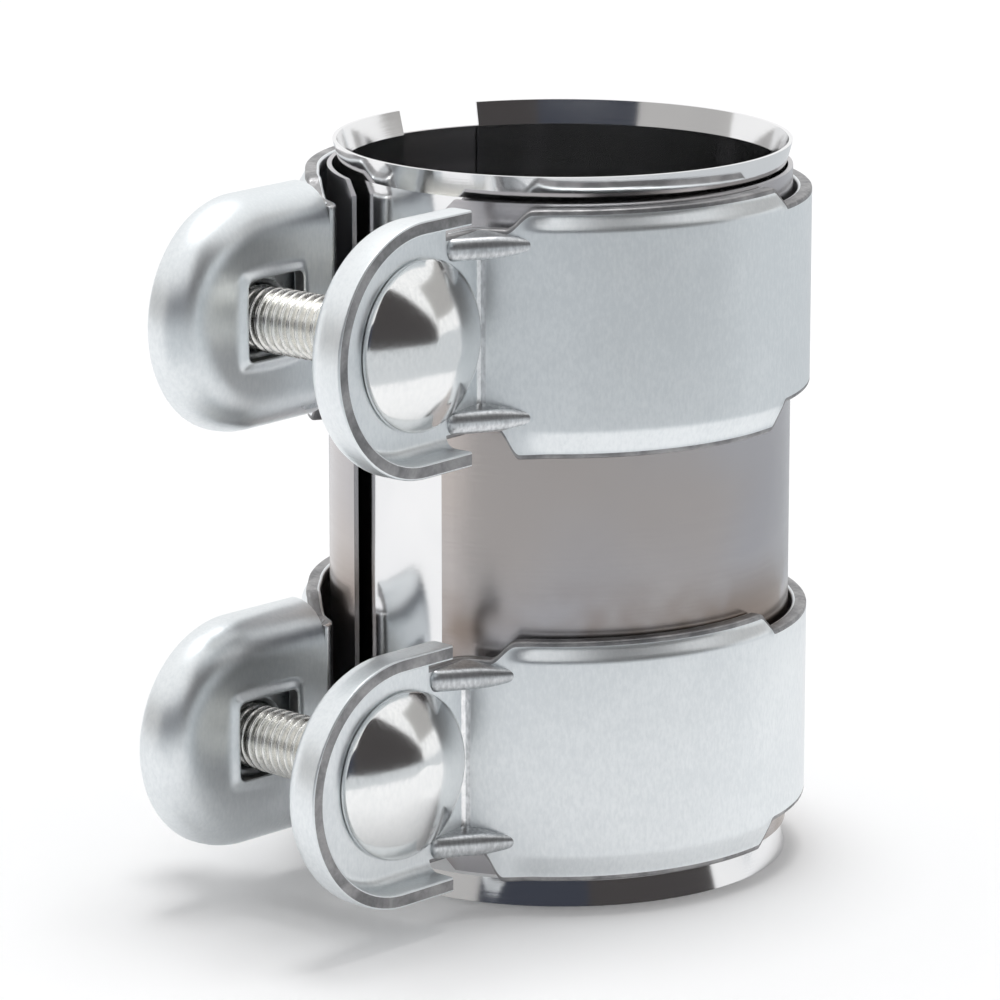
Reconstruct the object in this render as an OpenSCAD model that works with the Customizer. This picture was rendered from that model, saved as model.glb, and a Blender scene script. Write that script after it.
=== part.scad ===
// Double clamp exhaust sleeve: two split sheet sleeves, one inside the other, that join two
// pipe ends, and two bolted clamp bands that pull them tight. It stands on its lower rim.
// The origin is on the axis of the pipe bore, halfway up. The clamp ears point to -Y.

/* [Sleeves] */
// Diameter of the pipe bore
bore_d = 54; // [46:0.5:66]
// Length of the inner sleeve, rim to rim
inner_length = 90; // [84:1:120]
// Sheet thickness of the inner sleeve
inner_sheet = 0.5; // [0.4:0.1:0.8]
// Height of the flared end of the inner sleeve
flare_height = 3; // [2:0.5:4]
// How far the flared rim stands out from the tube
flare_rise = 0.8; // [0.3:0.1:1.2]
// Width of the gap in the inner sleeve, in degrees
inner_gap = 24.5; // [10:0.5:60]
// Direction of the middle of the gap in the inner sleeve
inner_gap_at = 165.5; // [120:0.5:200]
// Sheet thickness of the outer sleeve
outer_sheet = 0.6; // [0.4:0.1:0.8]
// Radial room between the two sleeves before the clamps are tightened
nest_room = 0.55; // [0.3:0.05:1]
// Width of the gap in the outer sleeve, in degrees
outer_gap = 31.5; // [15:0.5:50]
// Direction of the middle of the gap in the outer sleeve
outer_gap_at = 264.75; // [250:0.25:290]
// Length lost by the outer sleeve between the two flared ends
outer_end_play = 1; // [0.5:0.1:3]
// Size of the clipped corners of the outer sleeve
corner_clip = 1.8; // [0.5:0.1:3]

/* [Clamp band] */
// Thickness of the clamp strip
strip = 1.8; // [1.2:0.1:2.5]
// Width of the plain band
band_width = 24.4; // [18:0.2:28]
// Radial room between the band and the outer sleeve
band_room = 1.1; // [1.1:0.05:1.5]
// How far the open band has sprung towards its ears
band_spring = 0.9; // [0.2:0.05:0.9]
// How far the upper flange reaches past the plain band
flange_reach_above = 2.3; // [2:0.1:3]
// How far the lower flange reaches past the plain band
flange_reach_below = 3.3; // [2:0.1:4]
// Height of the straight lip at the edge of each flange
flange_lip = 0.8; // [0.6:0.1:1.2]
// Angle from the ears at which the flanges start
flange_from = 29; // [27:0.5:40]
// Angle from the ears at which the flanges end
flange_to = 102; // [70:1:110]
// Radius of the bend between the band and an ear
neck_bend = 1.2; // [1:0.1:1.6]
// Distance from the top of the outer sleeve to the upper clamp
upper_margin = 0.2; // [0.1:0.1:3]
// Distance from the bottom of the outer sleeve to the lower clamp
lower_margin = 0.3; // [0.1:0.1:3]
// How far the upper clamp stands turned on the sleeve
upper_turn = 0.8; // [-20:0.1:20]
// How far the lower clamp stands turned on the sleeve
lower_turn = -2.7; // [-20:0.1:20]

/* [Ears] */
// Distance between the two ears
ear_gap = 21.1; // [20:0.1:22]
// How far the middle of the ears stands above the middle of the band
ear_lift = 0.5; // [0:0.1:1]
// Depth of the pressed ears, from floor to rim
ear_depth = 5.8; // [5.8:0.1:8]
// Height of the ear under the bolt head
head_ear_height = 30.6; // [29:0.2:32]
// Outer radius of the bend between its floor and its rim wall
head_ear_bend = 3.2; // [2.8:0.1:4.2]
// Distance from the bolt to the centre of its round end
head_ear_past = 3.4; // [2:0.1:5]
// Distance from the bolt to the cut ends of its rim wall
head_wall_back = 4.8; // [2:0.1:5.8]
// Height of the ear under the nut
nut_ear_height = 28.8; // [28:0.2:32]
// Outer radius of the bend between its floor and its rim wall
nut_ear_bend = 4.9; // [3:0.1:5]
// Distance from the bolt to the centre of its round end
nut_ear_past = 1.4; // [1:0.1:5]
// Distance from the bolt to the cut ends of its rim wall
nut_wall_back = 10.2; // [4:0.1:10.2]
// Width of the square hole for the bolt
hole_width = 9.8; // [9.6:0.1:10]
// Height of the rolled lip round the square hole
lip_height = 0.7; // [0.3:0.1:1.2]
// Width of the rolled lip round the square hole
lip_width = 1.1; // [0.6:0.1:1.4]
// Thickness of the pressed gusset ribs in the neck
rib_width = 2.2; // [1.5:0.1:2.4]
// How far a rib reaches along the ear floor
rib_reach = 4.2; // [3:0.1:4.4]
// Distance from the edge of the band to the middle of a rib
rib_inset = 1.8; // [1.4:0.1:1.8]

/* [Bolt and nut] */
// Nominal diameter of the bolt thread
bolt_d = 8; // [6:1:8]
// Length of the bolt below its head
bolt_length = 40; // [36:1:60]
// How far the bolt lies below the middle of its hole
bolt_drop = 0.5; // [0:0.1:0.5]
// Distance from the outer sleeve to the bolt
bolt_offset = 12.35; // [12.15:0.05:13]
// Diameter of the mushroom head
head_d = 20.6; // [14:0.2:20.6]
// Height of the mushroom head
head_height = 4.7; // [3.5:0.1:6]
// Height of the straight edge under the dome of the head
head_edge = 0.7; // [0.3:0.1:1.5]
// Width of the square neck under the head
neck_width = 8.4; // [8:0.1:8.5]
// Length of the square neck under the head
neck_length = 4.2; // [3:0.1:6]
// Width of the nut across its flats
nut_flats = 13; // [12:0.5:14]
// Height of the nut with its flange
nut_height = 8; // [6:0.5:10]
// Diameter of the flange of the nut
nut_flange_d = 17.9; // [15:0.1:19]
// Thickness of the rim of the nut flange
nut_flange_edge = 1.2; // [0.8:0.1:2]

/* [Hidden] */
$fn = 96;
// Room between pieces that touch, and running room round the bolt thread
seat = 0.05;
thread_room = 0.05;
// Room between the flange ends and the outer sleeve
flange_room = 0.08;
// How much the pressed bend of the neck thins the strip from each side
neck_thin = 0.02;
// Chamfer of the flange's outer edge, and how deep its root and its end cuts go into the band
flange_edge = 0.4;
flange_root = 1;
flange_sink = 0.3;
// Size of a slope cut against the reach of its flange
cut_reach = 6;
// Radius of the ridge of a gusset rib, and depth of the bolt's end chamfer
rib_ridge = rib_width / 2;
end_chamfer = 1;
// Height of the cone that falls from the nut's hexagon to its flange
nut_cone = 1.8;
// Number of sides of the nut
nut_sides = 6;
// A length well past everything, for cutting
far = 2 * inner_length;

bore_r = bore_d / 2;
inner_r = bore_r + inner_sheet;
outer_in_r = inner_r + nest_room;
outer_r = outer_in_r + outer_sheet;
// The inner sleeve has sprung to the back of the outer one, so the rest lies to the front
nest_shift = nest_room - seat;
inner_top = inner_length / 2;
outer_top = inner_top - flare_height - seat;
outer_bottom = -inner_top + flare_height + outer_end_play - seat;

ring_in = outer_r + band_room;
ring_out = ring_in + strip;
flange_in = outer_r - band_spring * cos(flange_to) + flange_room;
flange_out = flange_in + strip;
upper_z = outer_top - upper_margin - flange_reach_above - band_width / 2;
lower_z = outer_bottom + lower_margin + flange_reach_below + band_width / 2;

floor_in = ear_gap / 2;
floor_out = floor_in + strip;
rim_out = floor_in + ear_depth;
// The bolt and the ears are placed from the outer sleeve, the neck from the sprung ring
bolt_y = -(outer_r + bolt_offset);
neck_x = floor_out + neck_bend;
neck_y = -sqrt(pow(ring_out + neck_bend, 2) - pow(neck_x, 2));
neck_angle = atan(neck_x / -neck_y);
// The bend runs on into the ring by 3 degrees
neck_past = neck_angle - 3;
head_ball = (pow(head_d / 2, 2) + pow(head_height - head_edge, 2)) / (2 * (head_height - head_edge));

// Everything that is gathered on the axis of the outer sleeve
module on_outer_axis() {
    translate([0, -nest_shift, 0]) children();
}

// A clamp's pieces at their height, turned about the outer sleeve
module at_upper_clamp() {
    on_outer_axis() translate([0, 0, upper_z]) rotate([0, 0, upper_turn]) children();
}

module at_lower_clamp() {
    on_outer_axis() translate([0, 0, lower_z]) rotate([0, 0, lower_turn]) children();
}

// Thin rolled sheet with flared ends, open along one side
module inner_sleeve() {
    bend_z = inner_top - flare_height;
    color([0.72, 0.70, 0.70])
    rotate([0, 0, inner_gap_at + inner_gap / 2])
    rotate_extrude(angle = 360 - inner_gap)
    polygon([[bore_r, -bend_z], [bore_r + flare_rise, -inner_top], [inner_r + flare_rise, -inner_top],
        [inner_r, -bend_z], [inner_r, bend_z], [inner_r + flare_rise, inner_top],
        [bore_r + flare_rise, inner_top], [bore_r, bend_z]]);
}

// Everything above a plane that leans by 45 degrees, out and up from the given side
module beyond_slope(side, size) {
    rotate([-45 * side, 0, 0]) translate([-size / 2, -size / 2, 0]) cube(size);
}

// Thin rolled sheet with four clipped corners, gripped by the clamps
module outer_sleeve() {
    color([0.62, 0.60, 0.61])
    on_outer_axis() difference() {
        rotate([0, 0, outer_gap_at + outer_gap / 2])
        rotate_extrude(angle = 360 - outer_gap)
        translate([outer_in_r, outer_bottom]) square([outer_sheet, outer_top - outer_bottom]);
        for (side = [-1, 1]) rotate([0, 0, outer_gap_at + side * outer_gap / 2]) {
            translate([outer_r, 0, outer_top - corner_clip]) beyond_slope(-side, 4 * corner_clip);
            translate([outer_r, 0, outer_bottom + corner_clip]) mirror([0, 0, 1])
            beyond_slope(-side, 4 * corner_clip);
        }
    }
}

// Plan of the plain band: a sprung ring with a neck bent outwards at each end
module band_plan() {
    translate([0, -band_spring]) difference() {
        circle(ring_out);
        circle(ring_in);
        polygon([[0, 0], [-far * sin(neck_angle), -far * cos(neck_angle)],
            [far * sin(neck_angle), -far * cos(neck_angle)]]);
    }
    neck_plan(head_wall_back);
    mirror([1, 0]) neck_plan(nut_wall_back);
}

// The bend from the ring to the ear, and the flat strip up to the ear's wall ends
module neck_plan(wall_back) {
    wall_end_y = bolt_y + wall_back;
    translate([neck_x, neck_y - band_spring]) intersection() {
        difference() {
            circle(neck_bend + strip - neck_thin);
            circle(neck_bend + neck_thin);
        }
        polygon([[0, 0], [-far, 0], [-far, far], [-far * sin(neck_past), far * cos(neck_past)]]);
    }
    translate([floor_in, wall_end_y - seat])
    square([strip, neck_y - band_spring - wall_end_y + 2 * seat]);
}

// The upper flange on the +X side: a slope in towards the sleeve, then a straight lip
module flange(reach) {
    edge = band_width / 2;
    flange_top = edge + reach;
    lip_from = flange_top - flange_lip;
    translate([0, -band_spring, 0]) difference() {
        rotate([0, 0, flange_from - 90])
        rotate_extrude(angle = flange_to - flange_from)
        polygon([[ring_in + seat, edge - flange_root], [flange_in, lip_from], [flange_in, flange_top],
            [flange_out - flange_edge, flange_top], [flange_out, flange_top - flange_edge],
            [flange_out, lip_from], [ring_out - seat, edge + seat], [ring_out - seat, edge - flange_root]]);
        for (side = [-1, 1]) rotate([0, 0, (side < 0 ? flange_from : flange_to) - 90])
        translate([ring_out, 0, edge - flange_sink]) beyond_slope(side, cut_reach * reach);
    }
}

// Section of a pressed ear from its middle to its rim: floor, bend and rim wall
module ear_section(height, bend) {
    bend_at = floor_in + bend;
    floor_r = height / 2 - bend;
    translate([0, floor_in]) square([floor_r + seat, strip]);
    translate([height / 2 - strip, bend_at - seat]) square([strip, rim_out - bend_at + seat]);
    translate([floor_r, bend_at]) intersection() {
        difference() {
            circle(bend);
            circle(bend - strip);
        }
        translate([0, -2 * bend]) square(2 * bend);
    }
}

// A pressed ear on the +X side: a pan with a round end, open away from its partner
module ear(height, bend, past, wall_back) {
    round_y = bolt_y - past;
    wall_end_y = bolt_y + wall_back;
    translate([0, 0, ear_lift]) difference() {
        union() {
            translate([0, round_y, 0]) rotate([0, 90, 0]) rotate([0, 0, 180])
            rotate_extrude(angle = 180) ear_section(height, bend);
            for (side = [0, 1]) mirror([0, 0, side])
            translate([0, wall_end_y, 0]) rotate([90, 0, 0])
            linear_extrude(wall_end_y - round_y) mirror([1, 0]) rotate([0, 0, 90]) ear_section(height, bend);
            // The rolled lip on the side that faces the other ear
            translate([floor_in - lip_height, bolt_y, 0])
            translate([0, -hole_width / 2 - lip_width, -hole_width / 2 - lip_width])
            cube([lip_height + seat, hole_width + 2 * lip_width, hole_width + 2 * lip_width]);
        }
        translate([floor_in, bolt_y, 0]) cube([far, hole_width, hole_width], center = true);
    }
}

// A pressed rib across the corner between the ear floor and the band
module gusset() {
    floor_y = neck_y - band_spring - rib_reach;
    ring_at = neck_angle + rib_reach / ring_out * 180 / PI;
    start = [floor_out - seat, floor_y];
    end = [(ring_out - seat) * sin(ring_at), -(ring_out - seat) * cos(ring_at) - band_spring];
    span = end - start;
    linear_extrude(rib_width - 2 * seat, center = true)
    polygon([start, end, [(ring_out - strip / 2) * sin(neck_angle), -ring_out * cos(neck_angle)],
        [floor_out - strip / 2, neck_y]]);
    translate([start[0], start[1], 0]) rotate([0, 0, atan2(span[1], span[0])]) rotate([0, 90, 0])
    cylinder(h = norm(span), r = rib_ridge);
}

// One bolted clamp band: ring, flanges, necks and ears pressed from one strip
module band() {
    color([0.72, 0.75, 0.77]) {
        linear_extrude(band_width, center = true) band_plan();
        for (side = [0, 1]) mirror([side, 0, 0]) {
            flange(flange_reach_above);
            mirror([0, 0, 1]) flange(flange_reach_below);
            for (end = [0, 1]) mirror([0, 0, end])
            translate([0, 0, band_width / 2 - rib_inset]) gusset();
        }
        ear(head_ear_height, head_ear_bend, head_ear_past, head_wall_back);
        mirror([1, 0, 0]) ear(nut_ear_height, nut_ear_bend, nut_ear_past, nut_wall_back);
    }
}

module upper_band() {
    at_upper_clamp() band();
}

module lower_band() {
    at_lower_clamp() band();
}

// Mushroom head bolt with a square neck, its head in the ear on the +X side
module bolt() {
    color([0.80, 0.82, 0.84])
    translate([floor_out + seat, bolt_y, ear_lift - bolt_drop]) rotate([0, 90, 0]) {
        rotate_extrude() intersection() {
            translate([0, head_height - head_ball]) circle(head_ball);
            square([head_d / 2, head_height]);
        }
        translate([0, 0, -neck_length / 2]) cube([neck_width, neck_width, neck_length + seat], center = true);
        translate([0, 0, -bolt_length + end_chamfer])
        cylinder(h = bolt_length - end_chamfer + seat, d = bolt_d);
        translate([0, 0, -bolt_length])
        cylinder(h = end_chamfer + seat, d1 = bolt_d - 2 * end_chamfer, d2 = bolt_d);
    }
}

module upper_bolt() {
    at_upper_clamp() bolt();
}

module lower_bolt() {
    at_lower_clamp() bolt();
}

// Hexagon nut with a flange, seated on the floor of the ear on the -X side
module nut() {
    color([0.74, 0.76, 0.78])
    translate([-floor_out - seat, bolt_y, ear_lift - bolt_drop]) rotate([0, -90, 0]) difference() {
        union() {
            cylinder(h = nut_flange_edge, d = nut_flange_d);
            translate([0, 0, nut_flange_edge])
            cylinder(h = nut_cone, d1 = nut_flange_d, d2 = nut_flats);
            intersection() {
                cylinder(h = nut_height, d = nut_flats / cos(180 / nut_sides), $fn = nut_sides);
                rotate_extrude() polygon([[0, 0], [nut_flats, 0], [nut_flats / 2, nut_height], [0, nut_height]]);
            }
        }
        translate([0, 0, -seat]) cylinder(h = nut_height + 2 * seat, d = bolt_d + 2 * thread_room);
    }
}

module upper_nut() {
    at_upper_clamp() nut();
}

module lower_nut() {
    at_lower_clamp() nut();
}

inner_sleeve();
outer_sleeve();
upper_band();
lower_band();
upper_bolt();
lower_bolt();
upper_nut();
lower_nut();
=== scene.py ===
import math

import bpy
import numpy as np
from mathutils import Euler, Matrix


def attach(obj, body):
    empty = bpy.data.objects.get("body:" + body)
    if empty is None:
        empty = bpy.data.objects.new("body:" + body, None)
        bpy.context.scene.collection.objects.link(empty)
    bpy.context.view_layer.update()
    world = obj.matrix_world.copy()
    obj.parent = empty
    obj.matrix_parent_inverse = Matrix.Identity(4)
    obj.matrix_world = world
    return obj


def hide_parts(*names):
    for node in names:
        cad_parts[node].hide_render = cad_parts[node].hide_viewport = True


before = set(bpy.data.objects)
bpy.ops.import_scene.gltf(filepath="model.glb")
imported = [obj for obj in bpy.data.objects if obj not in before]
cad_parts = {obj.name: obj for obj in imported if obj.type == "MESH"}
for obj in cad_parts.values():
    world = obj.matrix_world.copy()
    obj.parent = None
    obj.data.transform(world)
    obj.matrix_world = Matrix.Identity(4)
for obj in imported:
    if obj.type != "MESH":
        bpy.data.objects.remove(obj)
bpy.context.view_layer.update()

# Sizes in millimetres. The driving ones are those of the solids, and the rest follow from them.
OUTER_R = 28.65           # outer sleeve
OUTER_Y = -0.5            # axis of the outer sleeve and of the clamps
CLAMPS = {"upper": (27.25, 0.8), "lower": (-25.25, -2.7)}   # height and turn of each clamp
STRIP = 1.8               # thickness of the clamp strip
HALF = STRIP / 2
BAND_ROOM = 1.1           # between the outer sleeve and the ring
SPRING = 0.9              # how far the ring has sprung towards the ears
PLAIN = 12.2              # half width of the plain band
REACH_UP, REACH_DOWN = 2.3, 3.3            # of the flanges beyond the plain band
LIP = 0.8                 # straight lip at the edge of a flange
FLANGE_FROM, FLANGE_TO = 29.0, 102.0       # degrees from the ears
FLANGE_ROOM = 0.08        # between a flange and the outer sleeve
NECK_BEND = 1.2           # bend between ring and ear
EAR_GAP, EAR_DEPTH, EAR_LIFT = 21.1, 5.8, 0.5
HEAD_EAR = (30.6, 3.2, 3.4, 4.8)   # height, bend, bolt to round centre, bolt to wall ends
NUT_EAR = (28.8, 4.9, 1.4, 10.2)   # the same for the ear on the nut's side
BOLT_OFFSET = 12.35       # from the outer sleeve to the bolt
HOLE = 4.9                # half width of the square hole
DRAWN = 0.7               # how far the ear floor is drawn round the hole
CORNER = 0.9              # corner radius of the square hole and of the bolt's neck
RING_EDGE, EAR_EDGE = 0.3, 0.25            # rounding of the strip's edges
RIB_WIDTH, RIB_REACH, RIB_INSET = 2.2, 4.2, 1.8
BOLT_DROP = 0.5           # of the bolt below the middle of its hole
HEAD_R, HEAD_HEIGHT, HEAD_EDGE = 10.3, 4.7, 0.7
DIMPLE, DIMPLE_R = 0.12, 1.6               # depth and radius of the dimple in the head
NECK_HALF, NECK_LENGTH = 4.2, 4.2          # square neck
BOLT_LENGTH, THREAD_R, PITCH = 40.0, 4.0, 1.25
CORE_R, THREAD_DEPTH = 3.25, 0.72
BORE_R, BORE_ROOT = 4.06, 4.3              # thread in the nut
NUT_HALF, NUT_HEIGHT = 6.5, 8.0            # half across the flats
SEAT = 0.05               # room under the bolt head and under the nut

RING_R = OUTER_R + BAND_ROOM + HALF        # ring, middle of the strip
STEP = BAND_ROOM + SPRING * math.cos(math.radians(FLANGE_TO)) - FLANGE_ROOM   # of a flange
FLOOR_X = EAR_GAP / 2 + HALF               # ear floor, middle of the strip
NECK_R = NECK_BEND + HALF
NECK_X = FLOOR_X + NECK_R
NECK_Y = -math.sqrt((RING_R + NECK_R) ** 2 - NECK_X ** 2) - SPRING
NECK_TURN = math.asin(NECK_X / (RING_R + NECK_R))
RIM_X = EAR_GAP / 2 + EAR_DEPTH
BOLT_Y = -(OUTER_R + BOLT_OFFSET)
BOLT_Z = EAR_LIFT - BOLT_DROP
SEAT_X = FLOOR_X + HALF + SEAT             # under the bolt head and under the nut

# Material slots of a clamp strip
FACE, EDGE, SHADE_SLOT, HIGHLIGHT_SLOT = range(4)


# Mesh helpers
def new_piece(name, points, faces, materials, body, stands_for, slots=None, sharp=38.0):
    """An object from points in millimetres and a list of faces. It rides on a body and stands
    for a CAD node if one is named. Edges sharper than `sharp` degrees stay sharp and the rest is
    smooth."""
    mesh = bpy.data.meshes.new(name)
    mesh.from_pydata((np.asarray(points, float) * 0.001).tolist(), [], [list(f) for f in faces])
    mesh.validate()
    for material in materials:
        mesh.materials.append(material)
    if slots is not None:
        mesh.polygons.foreach_set("material_index", np.asarray(slots, np.int32))
    mesh.shade_smooth()
    mesh.set_sharp_from_angle(angle=math.radians(sharp))
    piece = bpy.data.objects.new(name, mesh)
    bpy.context.scene.collection.objects.link(piece)
    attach(piece, body)
    if stands_for:
        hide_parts(stands_for)


def grid_faces(rows, columns, closed_rows=False, closed_columns=False):
    """Quads of a grid with vertex number row * columns + column, wrapped round where closed."""
    r = np.arange(rows if closed_rows else rows - 1)
    c = np.arange(columns if closed_columns else columns - 1)
    r, c = np.meshgrid(r, c, indexing="ij")
    r2, c2 = (r + 1) % rows, (c + 1) % columns
    quads = np.stack([r * columns + c, r * columns + c2, r2 * columns + c2, r2 * columns + c], -1)
    return quads.reshape(-1, 4)


def to_clamp(points, which):
    """Turns and lifts points from a clamp's own place to where it sits on the outer sleeve."""
    height, turn = CLAMPS[which]
    a = math.radians(turn)
    x, y, z = np.moveaxis(np.asarray(points, float), -1, 0)
    return np.stack([x * math.cos(a) - y * math.sin(a),
                     x * math.sin(a) + y * math.cos(a) + OUTER_Y, z + height], -1)


def smooth(x):
    """0 below 0, 1 above 1, and 3x^2 - 2x^3 between."""
    x = np.clip(x, 0, 1)
    return x * x * (3 - 2 * x)


def fold(x, roundness=0.05):
    """A straight ramp from 0 at x = 0 to 1 at x = 1 with its two corners rounded."""
    return (np.hypot(x, roundness) - np.hypot(x - 1, roundness) + 1) / 2


# Shader nodes
def node_group(name, inputs, outputs):
    """An empty node group with named sockets, and its input and output nodes."""
    group = bpy.data.node_groups.new(name, "ShaderNodeTree")
    for label, kind, value in inputs:
        socket = group.interface.new_socket(name=label, in_out="INPUT", socket_type=kind)
        if value is not None:
            socket.default_value = value
    for label, kind in outputs:
        group.interface.new_socket(name=label, in_out="OUTPUT", socket_type=kind)
    return group, group.nodes.new("NodeGroupInput"), group.nodes.new("NodeGroupOutput")


def math_node(tree, operation, a, b):
    """a and b are numbers or sockets."""
    node = tree.nodes.new("ShaderNodeMath")
    node.operation = operation
    for socket, value in zip(node.inputs, (a, b)):
        if isinstance(value, (int, float)):
            socket.default_value = value
        else:
            tree.links.new(value, socket)
    return node.outputs[0]


def noise(tree, vector, scale, detail=3.0, roughness=0.55, distortion=0.0):
    """A noise from 0 to 1 with `scale` clouds to the metre."""
    node = tree.nodes.new("ShaderNodeTexNoise")
    tree.links.new(vector, node.inputs["Vector"])
    node.inputs["Scale"].default_value = scale
    node.inputs["Detail"].default_value = detail
    node.inputs["Roughness"].default_value = roughness
    node.inputs["Distortion"].default_value = distortion
    return node.outputs["Fac"]


def ramp(tree, value, low, high, to_low=0.0, to_high=1.0):
    """A smooth step from to_low where the value is low to to_high where it is high."""
    node = tree.nodes.new("ShaderNodeMapRange")
    node.interpolation_type = "SMOOTHSTEP"
    tree.links.new(value, node.inputs["Value"])
    labels = ("From Min", "From Max", "To Min", "To Max")
    for label, v in zip(labels, (low, high, to_low, to_high)):
        node.inputs[label].default_value = v
    return node.outputs["Result"]


def mix_colour(tree, factor, a, b):
    """Colour a where the factor is 0 and b where it is 1; each is a tone or a socket."""
    node = tree.nodes.new("ShaderNodeMix")
    node.data_type = "RGBA"
    node.clamp_factor = True
    for socket, value in ((node.inputs[0], factor), (node.inputs[6], a), (node.inputs[7], b)):
        if isinstance(value, tuple):
            socket.default_value = (*value, 1.0)
        else:
            tree.links.new(value, socket)
    return node.outputs[2]


def make_mottle():
    """Clouds of noise as a mask from 0 to 1, and a noise nine times as fine."""
    group, given, out = node_group(
        "cloudy_mottle",
        [("Vector", "NodeSocketVector", None), ("Size", "NodeSocketFloat", 60.0)],
        [("Mask", "NodeSocketFloat"), ("Fine", "NodeSocketFloat")])
    scaled = group.nodes.new("ShaderNodeVectorMath")
    scaled.operation = "SCALE"
    group.links.new(given.outputs["Vector"], scaled.inputs[0])
    group.links.new(given.outputs["Size"], scaled.inputs["Scale"])
    clouds = noise(group, scaled.outputs[0], 1.0, 3.0, 0.55, 0.4)
    fine = noise(group, scaled.outputs[0], 9.0, 4.0, 0.6)
    group.links.new(ramp(group, clouds, 0.3, 0.7), out.inputs["Mask"])
    group.links.new(fine, out.inputs["Fine"])
    return group


def make_grain():
    """Plated surface: fine specks drawn out along Z over slow clouds. Tone runs from 0 to 1, and
    Specks is the fine noise alone."""
    group, given, out = node_group("plated_grain", [("Vector", "NodeSocketVector", None)],
                                   [("Tone", "NodeSocketFloat"), ("Specks", "NodeSocketFloat")])
    drawn = group.nodes.new("ShaderNodeVectorMath")
    drawn.operation = "MULTIPLY"
    group.links.new(given.outputs["Vector"], drawn.inputs[0])
    drawn.inputs[1].default_value = (1.0, 1.0, 0.45)
    specks = noise(group, drawn.outputs[0], 2400.0, 4.0, 0.6)
    clouds = noise(group, given.outputs["Vector"], 48.0, 4.0, 0.6, 0.3)
    half_specks = math_node(group, "MULTIPLY", specks, 0.5)
    half_clouds = math_node(group, "MULTIPLY", clouds, 0.5)
    total = math_node(group, "ADD", half_specks, half_clouds)
    group.links.new(ramp(group, total, 0.36, 0.64), out.inputs["Tone"])
    group.links.new(specks, out.inputs["Specks"])
    return group


def make_scratches():
    """Fine lines that run round the Z axis, from noise squeezed along Z."""
    group, given, out = node_group(
        "rolled_lines",
        [("Vector", "NodeSocketVector", None), ("Lines per metre", "NodeSocketFloat", 3000.0)],
        [("Height", "NodeSocketFloat")])
    stretch = group.nodes.new("ShaderNodeCombineXYZ")
    stretch.inputs[0].default_value = 18.0
    stretch.inputs[1].default_value = 18.0
    group.links.new(given.outputs["Lines per metre"], stretch.inputs[2])
    product = group.nodes.new("ShaderNodeVectorMath")
    product.operation = "MULTIPLY"
    group.links.new(given.outputs["Vector"], product.inputs[0])
    group.links.new(stretch.outputs[0], product.inputs[1])
    lines = noise(group, product.outputs[0], 1.0, 3.0, 0.7)
    group.links.new(lines, out.inputs["Height"])
    return group


MOTTLE = make_mottle()
GRAIN = make_grain()
LINES = make_scratches()


def start_material(name):
    """A material with one principled shader, and its place on the object."""
    material = bpy.data.materials.new(name)
    material.use_nodes = True
    tree = material.node_tree
    tree.nodes.clear()
    out = tree.nodes.new("ShaderNodeOutputMaterial")
    shader = tree.nodes.new("ShaderNodeBsdfPrincipled")
    tree.links.new(shader.outputs[0], out.inputs["Surface"])
    place = tree.nodes.new("ShaderNodeTexCoord").outputs["Object"]
    return material, tree, shader, place


def add_group(tree, group, place, **values):
    """A node group in a material, with its own values."""
    node = tree.nodes.new("ShaderNodeGroup")
    node.node_tree = group
    tree.links.new(place, node.inputs["Vector"])
    for label, value in values.items():
        node.inputs[label.replace("_", " ")].default_value = value
    return node


def bump(tree, height, strength, distance, normal=None):
    """A bump of a depth in metres, on top of another normal if one is given."""
    node = tree.nodes.new("ShaderNodeBump")
    node.inputs["Strength"].default_value = strength
    node.inputs["Distance"].default_value = distance
    tree.links.new(height, node.inputs["Height"])
    if normal is not None:
        tree.links.new(normal, node.inputs["Normal"])
    return node.outputs[0]


def zinc(name, light, dark, rough_low, rough_high, bump_depth, metal=1.0):
    """Plated steel: two close tones in specks and clouds, with the roughness following them, and
    specks of a depth in metres over slow waves."""
    material, tree, shader, place = start_material(name)
    grain = add_group(tree, GRAIN, place)
    specks = grain.outputs["Specks"]
    colour = mix_colour(tree, grain.outputs["Tone"], dark, light)
    roughness = ramp(tree, specks, 0.3, 0.7, rough_high, rough_low)
    waves = bump(tree, noise(tree, place, 130.0, 2.0), 0.2, 0.0003)
    tree.links.new(colour, shader.inputs["Base Color"])
    tree.links.new(roughness, shader.inputs["Roughness"])
    tree.links.new(bump(tree, specks, 0.25, bump_depth, waves), shader.inputs["Normal"])
    shader.inputs["Metallic"].default_value = metal
    return material


def cut_edge(name, light, dark):
    """A sheared edge: torn, mottled, duller steel."""
    material, tree, shader, place = start_material(name)
    clouds = add_group(tree, MOTTLE, place, Size=260.0)
    colour = mix_colour(tree, clouds.outputs["Mask"], dark, light)
    roughness = ramp(tree, clouds.outputs["Fine"], 0.3, 0.7, 0.35, 0.6)
    torn = bump(tree, noise(tree, place, 1500.0, 3.0), 0.5, 0.0001)
    tree.links.new(colour, shader.inputs["Base Color"])
    tree.links.new(roughness, shader.inputs["Roughness"])
    tree.links.new(torn, shader.inputs["Normal"])
    shader.inputs["Metallic"].default_value = 1.0
    return material


FLANGE_REFLECTION = (0.27, 0.215, 0.18)   # brown painted reflection of the lower clamp's flange on the outer sleeve above that clamp
REFLECTION_FULL, REFLECTION_GONE = -0.0115, -0.0025   # heights in metres where it is full and gone


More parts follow.
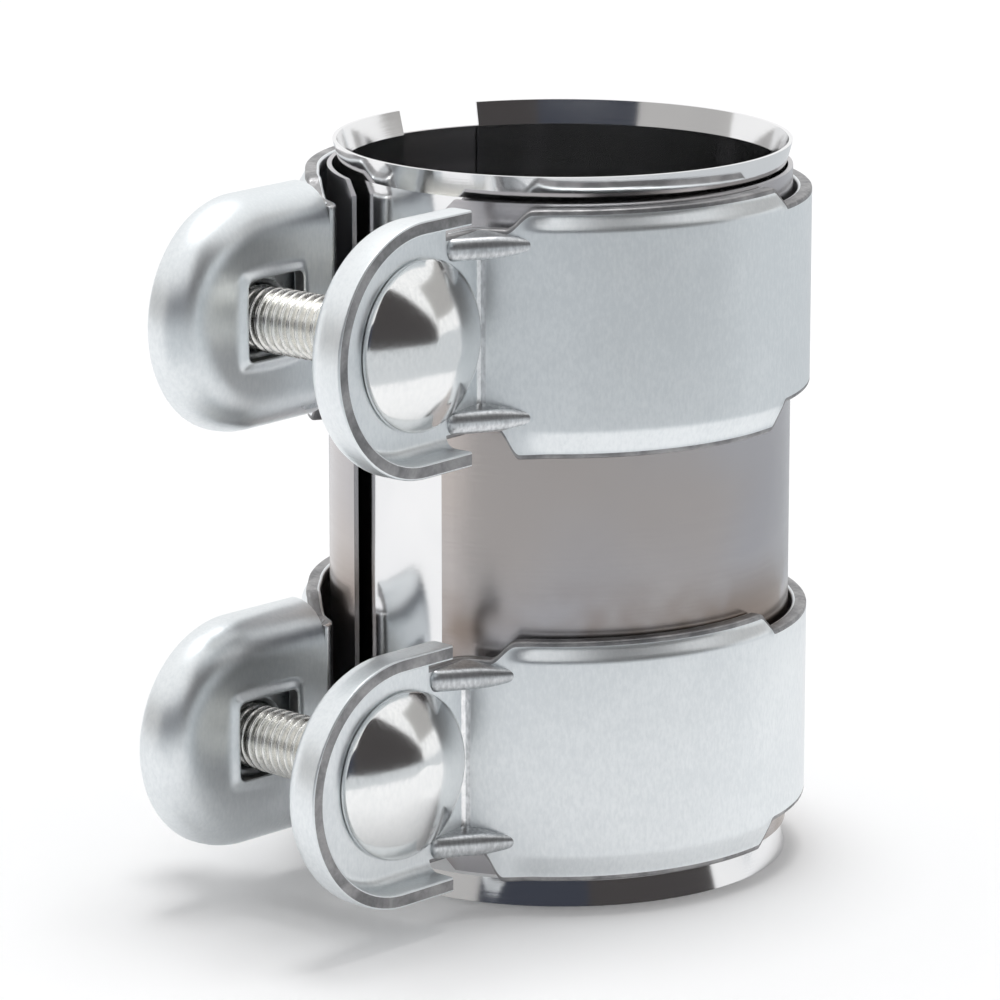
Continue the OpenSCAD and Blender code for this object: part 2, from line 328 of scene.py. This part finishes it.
def sheet_steel(name, light, dark, rough, line_strength, wave_strength, tint=None):
    """Rolled stainless sheet: two close tones, lines round the axis, and slow waves in the sheet.
    Where a tint is given, it lies on the sheet in clouds, and a patchy brown painted reflection
    of the lower clamp's flange fades out upwards above that clamp."""
    material, tree, shader, place = start_material(name)
    clouds = add_group(tree, MOTTLE, place, Size=38.0)
    lines = add_group(tree, LINES, place, Lines_per_metre=3600.0)
    colour = mix_colour(tree, clouds.outputs["Mask"], dark, light)
    if tint is not None:
        warm = ramp(tree, noise(tree, place, 24.0, 2.0), 0.42, 0.68, 0.0, 0.8)
        colour = mix_colour(tree, warm, colour, tint)
        height = tree.nodes.new("ShaderNodeSeparateXYZ")
        tree.links.new(place, height.inputs[0])
        # painted reflection of the lower clamp's flange: full just above the clamp, gone higher up
        near_clamp = ramp(tree, height.outputs["Z"], REFLECTION_FULL, REFLECTION_GONE, 0.9, 0.0)
        patchy = ramp(tree, noise(tree, place, 60.0, 3.0), 0.3, 0.55)
        flange_reflection_mask = math_node(tree, "MULTIPLY", near_clamp, patchy)
        colour = mix_colour(tree, flange_reflection_mask, colour, FLANGE_REFLECTION)
    lined = lines.outputs["Height"]
    roughness = ramp(tree, lined, 0.35, 0.65, rough * 0.92, rough * 1.1)
    waves = bump(tree, noise(tree, place, 70.0, 1.0), wave_strength, 0.0006)
    tree.links.new(colour, shader.inputs["Base Color"])
    tree.links.new(roughness, shader.inputs["Roughness"])
    tree.links.new(bump(tree, lined, line_strength, 0.00004, waves), shader.inputs["Normal"])
    shader.inputs["Metallic"].default_value = 1.0
    return material


ZINC = zinc("zinc_strip", (0.84, 0.87, 0.885), (0.755, 0.79, 0.81), 0.33, 0.37, 0.00002, 0.94)
CUT = cut_edge("cut_edge", (0.40, 0.395, 0.40), (0.22, 0.22, 0.225))
# Darker zinc is painted shade in the neck crease and on the ribs in the neck corners; near-white
# zinc is a painted highlight along the neck bend
SHADE_ZINC = zinc("painted_shade_zinc", (0.76, 0.78, 0.795), (0.48, 0.495, 0.51), 0.28, 0.38, 0.00003, 0.95)
HIGHLIGHT_ZINC = zinc("painted_highlight_zinc", (0.97, 0.97, 0.97), (0.82, 0.83, 0.84), 0.16, 0.26, 0.00002)
BRIGHT = zinc("bright_bolt", (0.90, 0.905, 0.90), (0.84, 0.85, 0.85), 0.12, 0.17, 0.000008)
THREAD = zinc("thread_steel", (0.88, 0.87, 0.83), (0.76, 0.755, 0.73), 0.2, 0.3, 0.000015)
NUT = zinc("zinc_nut", (0.78, 0.80, 0.81), (0.66, 0.685, 0.70), 0.27, 0.34, 0.00002)
POLISHED = sheet_steel("polished_sheet", (0.86, 0.86, 0.865), (0.80, 0.805, 0.815),
                       0.11, 0.08, 0.4)
SATIN = sheet_steel("satin_sheet", (0.49, 0.48, 0.495), (0.44, 0.43, 0.45), 0.24, 0.05, 0.2,
                    tint=(0.49, 0.44, 0.41))


# Clamp strip
def band_path(wall_back):
    """Middle line of the strip in plan, for the +X half from the ear to the back: a straight run
    along Y from the ear's wall ends, an arc of radius NECK_R about the neck centre, and an arc of
    radius RING_R about the sprung centre. Gives points, unit normals away from the sleeve, and
    the angle from the ears in degrees (0 before the ring)."""
    fine = math.radians(30)   # stations lie closer over this part of the ring
    y = np.linspace(BOLT_Y + wall_back, NECK_Y, 8)[:-1]
    flat = np.stack([np.full_like(y, FLOOR_X), y], -1)
    flat_n = np.tile([1.0, 0.0], (len(y), 1))
    a = np.linspace(math.pi, math.pi / 2 + NECK_TURN, 13)[:-1]
    out = np.stack([np.cos(a), np.sin(a)], -1)
    neck = np.array([NECK_X, NECK_Y]) + NECK_R * out
    near = np.linspace(0, 1, 70)[:-1] * fine
    far = np.linspace(fine, math.pi - NECK_TURN, 150)
    b = np.concatenate([near, far]) - math.pi / 2 + NECK_TURN
    ring_n = np.stack([np.cos(b), np.sin(b)], -1)
    ring = RING_R * ring_n + np.array([0, -SPRING])
    angle = np.concatenate([np.zeros(len(flat) + len(neck)), np.degrees(b) + 90])
    return np.concatenate([flat, neck, ring]), np.concatenate([flat_n, -out, ring_n]), angle


def band_section():
    """Stations round the strip's section: share of the way from the lower to the upper edge,
    side (+1 outside, -1 inside), the rounding direction (across, along Z), and 1 where the
    station takes the cut edge's darker steel: the upper and lower edges themselves, and also
    both outer corners and the outermost stations of the outside, where the darker tone is
    painted shade along the strip's edges. The section runs up the outside, over the upper edge,
    down the inside and under the lower edge, with a quarter round at each corner."""
    flanged, outermost = 0.155, 0.489
    low = np.linspace(0, 1, 16) * flanged
    middle = np.linspace(flanged, 1 - flanged, 44)[1:-1]
    share = np.concatenate([low, middle, 1 - low[::-1]])
    corner = np.linspace(0, math.pi / 2, 4)[1:-1]
    co, si = np.cos(corner), np.sin(corner)
    across = np.array([0.9, 0.3, -0.3, -0.9])
    # On the outside's end stations and both outer corners the cut edge's darker steel is painted
    # shade along the strip's edges
    runs = [(share, 1, 1, 0, np.abs(share - 0.5) > outermost),
            (1, 1, co, si, 1),
            (1, across, 0, 1, 1),
            (1, -1, -co[::-1], si[::-1], 0),
            (share[::-1], -1, -1, 0, 0),
            (0, -1, -co, -si, 0),
            (0, -across, 0, -1, 1),
            (0, 1, co[::-1], -si[::-1], 1)]
    return np.concatenate([np.stack(np.broadcast_arrays(*run)) for run in runs], axis=1)


def half_band(mirrored):
    """One half of the strip, section by section. Across = strip / 2 * side, moved in by the folded
    step of the flange above and below the plain band. Along the ring the edges run out from PLAIN
    by the flange's reach over a smooth slope, the step deepens more slowly behind it, and at the
    back both return over a shorter way."""
    points, normals, angle = band_path((NUT_EAR if mirrored else HEAD_EAR)[3])
    share, side, co, cz, edge = band_section()
    upper_slope, lower_slope, end_slope, end_step = 3.2, 2.6, 1.9, 3.0
    deepening = 9.0 if mirrored else 4.5
    start = np.radians(angle - FLANGE_FROM) * RING_R
    end = np.radians(FLANGE_TO - angle) * RING_R
    ending = smooth(end / end_slope) * (angle > 0)
    up = PLAIN + REACH_UP * smooth(start / upper_slope + 0.1) * ending
    down = PLAIN + REACH_DOWN * smooth(start / lower_slope + 0.45) * ending
    step_in = STEP * smooth((start - 0.8) / deepening) * smooth(end / end_step + 0.6)
    r = RING_EDGE
    z = -(down - r)[:, None] + (up + down - 2 * r)[:, None] * share[None, :]
    above = fold((z - PLAIN) / (REACH_UP - LIP)) * (z > 0)
    below = fold((-z - PLAIN) / (REACH_DOWN - LIP)) * (z < 0)
    across = (HALF - r) * side[None, :] + r * co[None, :] - step_in[:, None] * (above + below)
    z = z + r * cz[None, :]
    x = points[:, 0, None] + normals[:, 0, None] * across
    y = points[:, 1, None] + normals[:, 1, None] * across
    return np.stack([-x if mirrored else x, y, z], -1), edge


def make_band_ring(which):
    """The ring with its necks: the +X half from the ear to the back, then the -X half back to
    its ear, as one closed tube of sections with a cap at each end. The edges are cut steel,
    whose darker tone also covers the outer corners as painted shade along the edges, and the
    bend of each neck carries a painted highlight first and painted shade behind that."""
    right, edge = half_band(False)
    left, _ = half_band(True)
    rows = np.concatenate([right, left[::-1][1:]])
    n, m = rows.shape[:2]
    faces = grid_faces(n, m, closed_columns=True).tolist()
    across_edge = (edge > 0) & (np.roll(edge, -1) > 0)
    from_ear = np.minimum(np.arange(n - 1), n - 2 - np.arange(n - 1))
    crease, highlight_to, shade_to = 8, 13, 18   # rows from the ear
    # Along each neck bend the rows take a painted highlight first, then painted shade in the crease
    # behind it
    bent = np.where(from_ear < highlight_to, HIGHLIGHT_SLOT, SHADE_SLOT)
    marked = np.where((from_ear >= crease) & (from_ear < shade_to), bent, FACE)
    slots = np.where(across_edge[None, :], EDGE, marked[:, None]).ravel().tolist()
    faces.append(list(range(m))[::-1])
    faces.append(list(range((n - 1) * m, n * m)))
    slots += [EDGE, EDGE]
    return to_clamp(rows.reshape(-1, 3), which), [f[::-1] for f in faces], slots


# Gusset ribs and pressed ears
def make_rib(which, mirrored, level):
    """A rib across the corner of the neck, at a height: a straight flattened ridge from the ear
    floor to the ring on hollow flanks that reach down into the corner. It starts in a short dome
    at the ear and sinks slowly into the ring at its other end."""
    ridge = RIB_WIDTH / 2
    dome, sink_from, sink = 0.14, 0.55, 1.2   # shares of the way from ear to ring
    ring_at = NECK_TURN + RIB_REACH / (RING_R + HALF)
    begin = np.array([FLOOR_X + HALF, NECK_Y - RIB_REACH])
    end = (RING_R + HALF) * np.array([math.sin(ring_at), -math.cos(ring_at)])
    end = end - np.array([0, SPRING])
    t = np.linspace(-dome, sink_from + sink, 50)
    fade = np.sqrt(np.clip(1 - (np.maximum(-t, 0) / dome) ** 2, 0, 1))
    fade = fade * (1 - smooth((t - sink_from) / sink))
    chord = (end - begin) / np.linalg.norm(end - begin)
    outward = np.array([chord[1], -chord[0]])
    phi = np.linspace(-math.pi / 2, math.pi / 2, 17)
    flank = np.linspace(0, 1, 6)[1:]
    high = np.concatenate([0.8 * ridge * np.cos(phi), -flank, -flank[::-1]])
    sunk = np.where(high < 0, 1.0 + 2.0 * np.sin(math.pi * np.clip(t, 0, 1))[:, None], 1.0)
    broad = 1.25 * ridge
    foot = broad + 0.5 * flank ** 2
    wide = np.concatenate([broad * np.sin(phi), foot, -foot[::-1]])
    plan = begin + (end - begin) * t[:, None]
    plan = plan[:, None, :] + (fade[:, None] * high * sunk)[..., None] * outward
    x = -plan[..., 0] if mirrored else plan[..., 0]
    points = np.stack([x, plan[..., 1], level + fade[:, None] * wide], -1)
    faces = grid_faces(len(t), len(high), closed_columns=True)
    if not mirrored:
        faces = faces[:, ::-1]
    # The whole rib takes the darker zinc as painted shade in the corner of the neck
    return to_clamp(points.reshape(-1, 3), which), faces.tolist(), [SHADE_SLOT] * len(faces)


def rounded_square(angle, half, corner):
    """Distance from the centre to a square with rounded corners, in a direction: the straight
    sides, and in the corner sector the far crossing of the ray with the corner's circle."""
    c, s = np.abs(np.cos(angle)), np.abs(np.sin(angle))
    straight = half / np.maximum(c, s)
    k = half - corner
    b = k * (c + s)
    round_part = b + np.sqrt(np.maximum(b * b - (2 * k * k - corner * corner), 0))
    in_corner = (np.minimum(c, s) * straight) > k
    return np.where(in_corner, round_part, straight)


def ear_side(side, height, bend, past, wall_back):
    """One skin of an ear drawn on the +X side, side +1 towards the other ear and -1 towards the
    bolt head: the strip's middle surface moved by half its thickness along the normal. The floor
    runs from the square hole to a straight-sided outline with a round end. Outside that a quarter
    bend and a straight wall follow the outline's normal. Near the hole the floor is drawn towards
    the other ear, and the hole's edge and the rim are rounded."""
    r = EAR_EDGE
    flat_r, bend_r = height / 2 - bend, bend - HALF
    wall_end, round_y = BOLT_Y + wall_back, BOLT_Y - past
    turn = np.linspace(0, math.pi / 2, 4)
    straight = np.linspace(wall_end, round_y, 14)
    a = np.linspace(0, math.pi, 50)[1:-1]
    one = np.ones_like(straight)
    y = np.concatenate([straight, round_y - flat_r * np.sin(a), straight[::-1]])
    z = np.concatenate([flat_r * one, flat_r * np.cos(a), -flat_r * one])
    ny = np.concatenate([0 * one, -np.sin(a), 0 * one])
    nz = np.concatenate([one, np.cos(a), -one])

    # the floor: rays from the hole's edge to the outline, and to the straight line at the back
    back = np.linspace(-flat_r, flat_r, 20)[1:-1]
    outline_y = np.concatenate([y, np.full_like(back, wall_end)])
    rel = np.stack([outline_y - BOLT_Y, np.concatenate([z, back])], -1)
    direction = np.arctan2(rel[:, 1], rel[:, 0])
    unit = np.stack([np.cos(direction), np.sin(direction)], -1)
    hole = rounded_square(direction, HOLE + 0.02, CORNER)[:, None] * unit
    room = np.linalg.norm(rel - hole, axis=-1)
    near = r * (1 - np.cos(turn))[:, None] / room
    onward = np.linspace(0, 1, 13)[1:, None] ** 1.4
    share = np.concatenate([near, near[-1] + (1 - near[-1]) * onward])
    thick = np.concatenate([HALF - r + r * np.sin(turn), np.full(len(onward), HALF)])[:, None]
    flat = hole + (rel - hole) * share[..., None]
    drawn = DRAWN * (1 - smooth(share * room / np.minimum(1.7, 0.92 * room)))
    x = FLOOR_X - drawn - side * thick + 0 * share
    floor = np.stack([x, BOLT_Y + flat[..., 0], flat[..., 1]], -1)

    # the bend, the straight wall and its rounded rim
    t = np.linspace(0, math.pi / 2, 10)[1:]
    rim = np.ones(1 + len(turn))
    rise = np.concatenate([bend_r * (1 - np.cos(t)), [bend_r + 0.1],
                           RIM_X - FLOOR_X - r + r * np.sin(turn)])
    lean = np.concatenate([np.sin(t), rim])
    half = np.concatenate([np.full(len(t) + 1, HALF), HALF - r + r * np.cos(turn)])
    reach = bend_r * lean + side * half * lean
    x = FLOOR_X + rise - side * np.concatenate([HALF * np.cos(t), 0 * rim])
    wall = np.stack([x[:, None] + 0 * y, y + ny * reach[:, None], z + nz * reach[:, None]], -1)
    return floor, wall


def make_ear_mesh(which, mirrored):
    """Both skins of an ear, joined round the hole, along the rim, at the cut ends of the wall and
    along the back of the floor."""
    sizes = NUT_EAR if mirrored else HEAD_EAR
    floor, wall = ear_side(1, *sizes)
    fr, fc = floor.shape[:2]
    wr, wc = wall.shape[:2]
    inner_floor, inner_wall = ear_side(-1, *sizes)
    points = np.concatenate([q.reshape(-1, 3) for q in (floor, wall, inner_floor, inner_wall)])
    points[:, 2] += EAR_LIFT
    wall_at, other = fr * fc, fr * fc + wr * wc
    c = np.arange(wc - 1)
    last = (fr - 1) * fc
    skin = np.concatenate([grid_faces(fr, fc, closed_columns=True), grid_faces(wr, wc) + wall_at,
                           np.stack([last + c, last + c + 1, wall_at + c + 1, wall_at + c], -1)])
    ends = []
    for column, back in ((0, False), (wc - 1, True)):
        run = np.concatenate([[last + column], wall_at + np.arange(wr) * wc + column])
        ends.append(run[::-1] if back else run)
    hole_run = np.append(np.arange(fc), 0)[::-1]
    rim_run = wall_at + (wr - 1) * wc + np.arange(wc)
    back_run = last + np.append(np.arange(wc - 1, fc), 0)
    joined = [np.stack([run[:-1], run[:-1] + other, run[1:] + other, run[1:]], -1)
              for run in ends + [hole_run, rim_run, back_run]]
    edges = np.concatenate(joined)[:, ::-1]
    faces = np.concatenate([skin, skin[:, ::-1] + other, edges])
    slots = [FACE] * (2 * len(skin)) + [EDGE] * len(edges)
    if mirrored:
        points = points * np.array([-1, 1, 1])
        faces = faces[:, ::-1]
    return to_clamp(points, which), faces.tolist(), slots


def make_band(which):
    """Ring, both ears and the four ribs as one mesh."""
    made = [make_band_ring(which)]
    for mirrored in (False, True):
        made.append(make_ear_mesh(which, mirrored))
        made += [make_rib(which, mirrored, level * (PLAIN - RIB_INSET)) for level in (-1, 1)]
    points, faces, slots = [], [], []
    for p, f, s in made:
        offset = sum(len(q) for q in points)
        points.append(p)
        faces += [[i + offset for i in face] for face in f]
        slots += s
    new_piece(which + "_clamp_strip", np.concatenate(points), faces, [ZINC, CUT, SHADE_ZINC, HIGHLIGHT_ZINC],
              which + "_clamp", which + "_band", slots)


# Bolt and nut
def thread_radius(x, angle, minor, major):
    """Radius of a right-hand V thread along X: a triangle wave of the phase
    x / PITCH - angle / 2 pi with its crest and root cut flat."""
    phase = (x / PITCH - angle / (2 * math.pi)) % 1.0
    wave = 1 - np.abs(2 * phase - 1)
    return minor + (major - minor) * smooth((wave - 0.14) / 0.72)


def rings(rows, angle):
    """Rings about the bolt's axis from pairs of x and radius, where a radius may be an array over
    the angles: y = r cos a and z = r sin a from the axis."""
    x = np.array([row[0] for row in rows])[:, None] + 0 * angle
    r = np.stack([row[1] + 0 * angle for row in rows])
    return np.stack([x, BOLT_Y + r * np.cos(angle), r * np.sin(angle) + BOLT_Z], -1)


def revolve(rows, count):
    """Closes a stack of rings (rows x count points) with a point at each end; the grid between
    is quads."""
    n = len(rows)
    points = rows.reshape(-1, 3)
    first, last = rows[0].mean(0), rows[-1].mean(0)
    faces = grid_faces(n, count, closed_columns=True).tolist()
    a, b = n * count, n * count + 1
    faces += [[(i + 1) % count, i, a] for i in range(count)]
    faces += [[(n - 1) * count + i, (n - 1) * count + (i + 1) % count, b] for i in range(count)]
    return np.concatenate([points, [first, last]]), faces


def make_bolt(which):
    """Mushroom head bolt along X: a spherical cap with a small dimple in its crown, a rounded
    edge, a square neck, and a plain core under the thread with a chamfered end."""
    count = 96
    a = np.linspace(0, 2 * math.pi, count, endpoint=False)
    dome = HEAD_HEIGHT - HEAD_EDGE
    ball = (HEAD_R ** 2 + dome ** 2) / (2 * dome)
    dome_x = SEAT_X + HEAD_HEIGHT - ball
    end_x = SEAT_X - BOLT_LENGTH
    square = rounded_square(a, NECK_HALF, CORNER)
    rows = []   # x and radius of each ring, from the crown to the end of the thread
    for s in np.linspace(0.006, math.asin((HEAD_R - 0.25) / ball), 46):
        dent = DIMPLE * math.exp(-(s * ball / DIMPLE_R) ** 4)
        rows.append((dome_x + ball * math.cos(s) - dent, ball * math.sin(s)))
    for x, inset in ((0.72, 0.06), (0.5, 0), (0.22, 0), (0.05, 0.14), (0.0, 0.4)):
        rows.append((SEAT_X + x, HEAD_R - inset))
    rows += [(SEAT_X, square + 0.35), (SEAT_X - 0.1, square + 0.05)]
    rows += [(SEAT_X - x, square) for x in (0.3, 1.5, 2.7, 3.9)]
    rows += [(SEAT_X - NECK_LENGTH, np.minimum(square, 4.25)), (SEAT_X - NECK_LENGTH - 0.1, CORE_R),
             (end_x + 0.5, CORE_R), (end_x, CORE_R - 0.3), (end_x, 1.2)]
    points, faces = revolve(rings(rows, a), count)
    new_piece(which + "_bolt_piece", to_clamp(points, which), faces, [BRIGHT],
              which + "_bolt", which + "_bolt", sharp=32.0)


def make_thread(which):
    """Thread surface of a bolt on a grid that winds with the thread: a row has one phase of the V
    and moves by one pitch in a turn. The rows are cut off square at both ends, the thread runs out
    over 1.2 mm towards the neck, and a cone chamfers its end."""
    count, steps = 96, 14
    start_x, end_x = SEAT_X - NECK_LENGTH - 0.05, SEAT_X - BOLT_LENGTH
    a = np.linspace(0, 2 * math.pi, count + 1)
    turns = (start_x - end_x) / PITCH + 1
    back = np.arange(0, turns, 1 / steps) * PITCH
    x = start_x - back[:, None] + PITCH * a / (2 * math.pi)
    wave = 1 - np.abs(2 * ((back / PITCH) % 1.0) - 1)
    depth = THREAD_DEPTH * smooth((start_x - x) / 1.2)
    r = THREAD_R - depth * (1 - smooth((wave[:, None] - 0.14) / 0.72))
    x = np.clip(x, end_x, start_x)
    r = np.minimum(r, 3.0 + (x - end_x))
    points = np.stack([x, BOLT_Y + r * np.cos(a + 2.0), r * np.sin(a + 2.0) + BOLT_Z], -1)
    points = to_clamp(points.reshape(-1, 3), which)
    faces = grid_faces(len(back), count + 1)[:, ::-1].tolist()
    new_piece(which + "_bolt_thread", points, faces, [THREAD], which + "_bolt", None, sharp=60.0)


def make_nut(which):
    """Flanged hexagon nut along -X. At each height the outside is the larger of the flange cone
    and the hexagon cut by its chamfer cone; the bore is a V thread."""
    count = 120
    a = np.linspace(0, 2 * math.pi, count, endpoint=False)
    sector = (a + math.pi / 6) % (math.pi / 3) - math.pi / 6
    hexagon = NUT_HALF / np.cos(sector)
    rows = [(0.0, 8.7), (0.12, 8.94), (1.1, 8.95), (1.25, 8.8)]   # height and radius
    levels = (np.linspace(1.5, 3.2, 8), np.linspace(3.6, 7.2, 6), np.linspace(7.3, NUT_HEIGHT, 7))
    for h in np.concatenate(levels):
        cone = 8.8 - (h - 1.25) * 1.5
        chamfer = 6.35 + (NUT_HEIGHT - h) * 1.6
        rows.append((h, np.maximum(np.minimum(hexagon, chamfer), cone)))
    rows.append((NUT_HEIGHT, 4.75))
    for h in np.arange(7.7, 0.25, -PITCH / 10):
        rows.append((h, thread_radius(-h - SEAT_X, a, BORE_R, BORE_ROOT)))
    rows.append((0.0, 4.75))
    points = rings([(-SEAT_X - h, r) for h, r in rows], a).reshape(-1, 3)
    faces = grid_faces(len(rows), count, closed_rows=True, closed_columns=True)[:, ::-1]
    new_piece(which + "_nut_piece", to_clamp(points, which), faces.tolist(), [NUT],
              which + "_nut", which + "_nut", sharp=30.0)


for which in CLAMPS:
    make_band(which)
    make_bolt(which)
    make_thread(which)
    make_nut(which)

# The sleeves stay as they are in the CAD and only get their finish.
for node, material in (("inner_sleeve", POLISHED), ("outer_sleeve", SATIN)):
    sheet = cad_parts[node]
    for index in range(max(1, len(sheet.material_slots))):
        if len(sheet.material_slots) <= index:
            sheet.data.materials.append(material)
        else:
            sheet.material_slots[index].material = material


# Floor, light and camera, in metres
FLOOR_SIZE, FLOOR_Z = 6.0, -0.04504


def make_floor():
    """A matt white square just under the sleeve."""
    mesh = bpy.data.meshes.new("floor")
    s, z = FLOOR_SIZE, FLOOR_Z
    mesh.from_pydata([(-s, -s, z), (s, -s, z), (s, s, z), (-s, s, z)], [], [(0, 1, 2, 3)])
    material = bpy.data.materials.new("white_floor")
    material.use_nodes = True
    shader = material.node_tree.nodes["Principled BSDF"]
    shader.inputs["Base Color"].default_value = (0.97, 0.97, 0.975, 1)
    shader.inputs["Roughness"].default_value = 0.9
    shader.inputs["Specular IOR Level"].default_value = 0.0
    mesh.materials.append(material)
    floor = bpy.data.objects.new("floor", mesh)
    bpy.context.scene.collection.objects.link(floor)


def make_reflected(name, points, tone):
    """A strip of quads between two rows of points in metres, in a plain glowing tone, seen only
    in reflections."""
    mesh = bpy.data.meshes.new(name)
    mesh.from_pydata(points.tolist(), [], grid_faces(2, len(points) // 2).tolist())
    material = bpy.data.materials.new(name)
    material.use_nodes = True
    tree = material.node_tree
    tree.nodes.clear()
    out = tree.nodes.new("ShaderNodeOutputMaterial")
    glow = tree.nodes.new("ShaderNodeEmission")
    glow.inputs["Color"].default_value = (*tone, 1)
    glow.inputs["Strength"].default_value = 1.0
    tree.links.new(glow.outputs[0], out.inputs["Surface"])
    mesh.materials.append(material)
    panel = bpy.data.objects.new(name, mesh)
    bpy.context.scene.collection.objects.link(panel)
    panel.visible_camera = False
    panel.visible_diffuse = False
    panel.visible_shadow = False


def make_panel(name, radius, left, right, low, high, tone):
    """A plain panel that stands round the stage: an arc of a cylinder about the Z axis between
    two azimuths in degrees, from `low` to a top edge that runs from the first to the second
    height in `high`, all in metres."""
    a = np.radians(np.linspace(left, right, 25))
    x, y = radius * np.cos(a), radius * np.sin(a)
    edges = [np.stack([x, y, z], -1) for z in (np.full(25, low), np.linspace(*high, 25))]
    make_reflected(name, np.concatenate(edges), tone)


def make_far_table(inner, outer, left, right, tone):
    """The table beyond the lit spot round the part, darker in the metal: part of a flat ring just
    above the floor, between two radii in metres and two azimuths in degrees."""
    a = np.radians(np.linspace(left, right, 49))
    level = np.full(49, -0.0445)
    edges = [np.stack([r * np.cos(a), r * np.sin(a), level], -1) for r in (inner, outer)]
    make_reflected("far_table", np.concatenate(edges), tone)


def make_light():
    """A white world that gives a little less light than it shows, one broad lamp overhead, and
    what the polished metal mirrors."""
    scene = bpy.context.scene
    world = bpy.data.worlds.new("studio")
    scene.world = world
    world.use_nodes = True
    tree = world.node_tree
    tree.nodes.clear()
    out = tree.nodes.new("ShaderNodeOutputWorld")
    path = tree.nodes.new("ShaderNodeLightPath")
    mirrored = math_node(tree, "MAXIMUM", path.outputs["Is Glossy Ray"],
                         path.outputs["Is Transmission Ray"])
    seen = math_node(tree, "MAXIMUM", path.outputs["Is Camera Ray"], mirrored)
    back = tree.nodes.new("ShaderNodeBackground")
    back.inputs["Color"].default_value = (1, 1, 1, 1)
    strength = tree.nodes.new("ShaderNodeMapRange")
    tree.links.new(seen, strength.inputs["Value"])
    strength.inputs["To Min"].default_value = 0.72
    strength.inputs["To Max"].default_value = 1.0
    tree.links.new(strength.outputs[0], back.inputs["Strength"])
    tree.links.new(back.outputs[0], out.inputs["Surface"])
    lamp = bpy.data.lights.new("soft_window", "SUN")
    lamp.energy = 1.15
    lamp.angle = math.radians(26)
    window = bpy.data.objects.new("soft_window", lamp)
    window.rotation_euler = Euler((math.radians(-7), math.radians(-3), 0))
    scene.collection.objects.link(window)
    make_panel("dark_room", 2.0, -92, -34, -0.04, (0.95, 0.95), (0.05, 0.055, 0.072))
    make_panel("pale_room", 2.0, -150, -92, -0.04, (0.75, 0.95), (0.52, 0.51, 0.50))
    make_panel("dark_side", 1.0, -36, 33, -0.04, (2.0, 0.12), (0.065, 0.06, 0.06))
    make_panel("grey_side", 1.0, 33, 100, 0.2, (0.75, 0.6), (0.45, 0.44, 0.43))
    make_far_table(0.135, 4.0, -95, 150, (0.67, 0.695, 0.715))


def make_camera():
    """Fitted to the rims, the strips' edges, the ears and the heads in the photograph."""
    data = bpy.data.cameras.new("camera")
    data.sensor_width = 36.0
    data.lens = 198.14
    data.clip_start, data.clip_end = 0.01, 50.0
    camera = bpy.data.objects.new("camera", data)
    camera.location = (0.42893, -0.51168, 0.1613)
    camera.rotation_euler = Euler((math.radians(76.3406), 0, math.radians(40.6318)))
    bpy.context.scene.collection.objects.link(camera)
    bpy.context.scene.camera = camera


make_floor()
make_light()
make_camera()
bpy.context.scene.view_settings.view_transform = "Standard"
